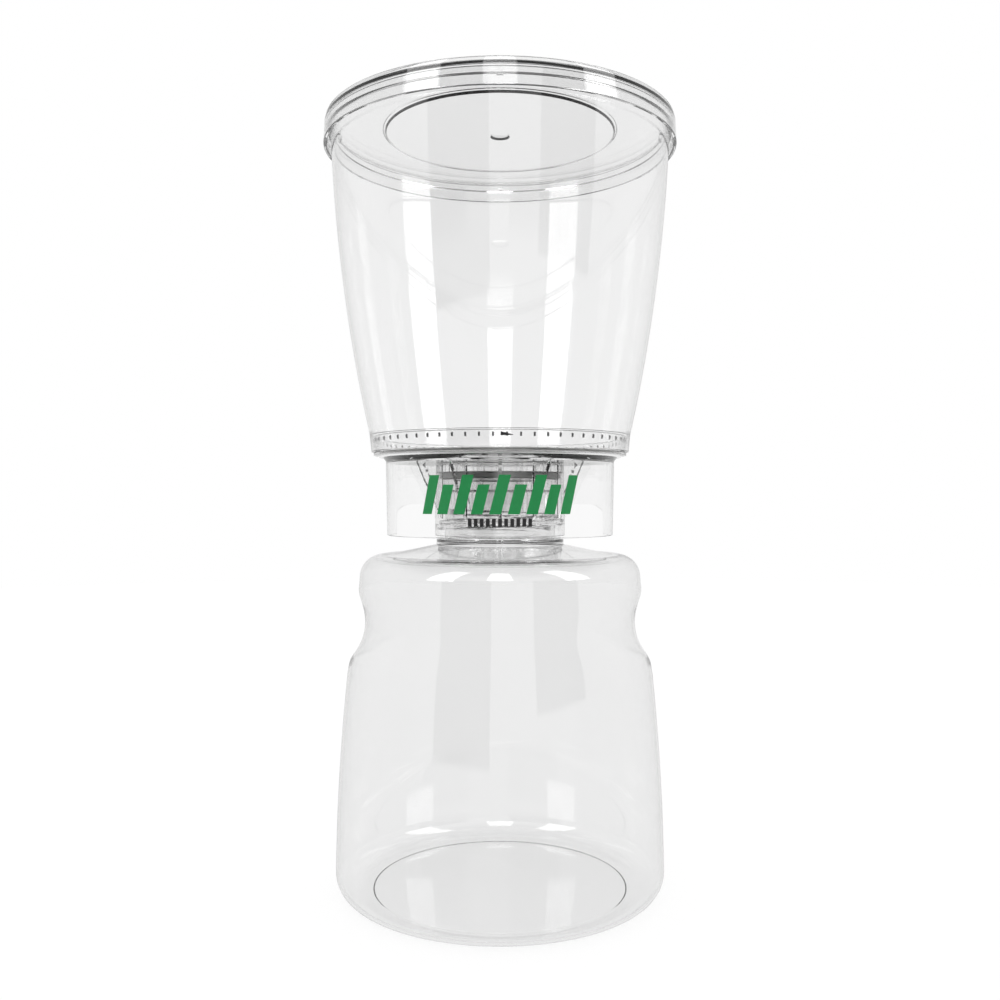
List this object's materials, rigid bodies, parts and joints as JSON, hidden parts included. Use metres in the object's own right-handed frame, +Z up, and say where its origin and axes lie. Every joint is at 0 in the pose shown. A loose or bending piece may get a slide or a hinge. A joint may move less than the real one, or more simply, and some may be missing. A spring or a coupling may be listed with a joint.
{
  "type": "vacuum filtration unit",
  "caption": "Clear funnel with a press-on lid, bonded to a filter base that screws onto a clear receiver bottle, for filtering liquids under vacuum.",
  "frame": {"origin": "on the unit's axis, in the plane the bottle stands on", "axes": "+Z up along the axis; -Y is the printed front; the hose barb leaves at the back along +Y"},
  "size_m": [0.1278, 0.1278, 0.2774],
  "materials": {
    "bottle_plastic": "clear, polished",
    "base_plastic": "clear, polished",
    "grid_plastic": "matt, natural white",
    "funnel_plastic": "clear, polished",
    "lid_plastic": "clear, polished",
    "gasket_foam": "matt foam",
    "membrane": "matt white",
    "plug_fibre": "matt white fibre",
    "print_green": "printed ink",
    "print_black": "printed ink"
  },
  "bodies": {
    "bottle": {"receiver_bottle": "bottle_plastic"},
    "gasket": {"neck_gasket": "gasket_foam"},
    "funnel_and_base": {"filter_base": "base_plastic", "side_arm_plug": "plug_fibre", "support_grid": "grid_plastic", "filter_membrane": "membrane", "funnel": "funnel_plastic"},
    "cover": {"lid": "lid_plastic"}
  },
  "joints": [
    {"name": "unscrew_lift", "type": "slide", "parent": "bottle", "child": "gasket", "axis": [0, 0, 1], "range_m": [0, 0.006]},
    {"name": "unscrew_turn", "type": "hinge", "parent": "gasket", "child": "funnel_and_base", "pos_m": [0, 0, 0.14], "axis": [0, 0, 1], "range_deg": [0, 540]},
    {"name": "lid_lift", "type": "slide", "parent": "funnel_and_base", "child": "cover", "axis": [0, 0, 1], "range_m": [0, 0.03]}
  ],
  "couplings": [
    {"joint": "unscrew_lift", "follows": "unscrew_turn", "m_per_rad": 0.0006366}
  ]
}
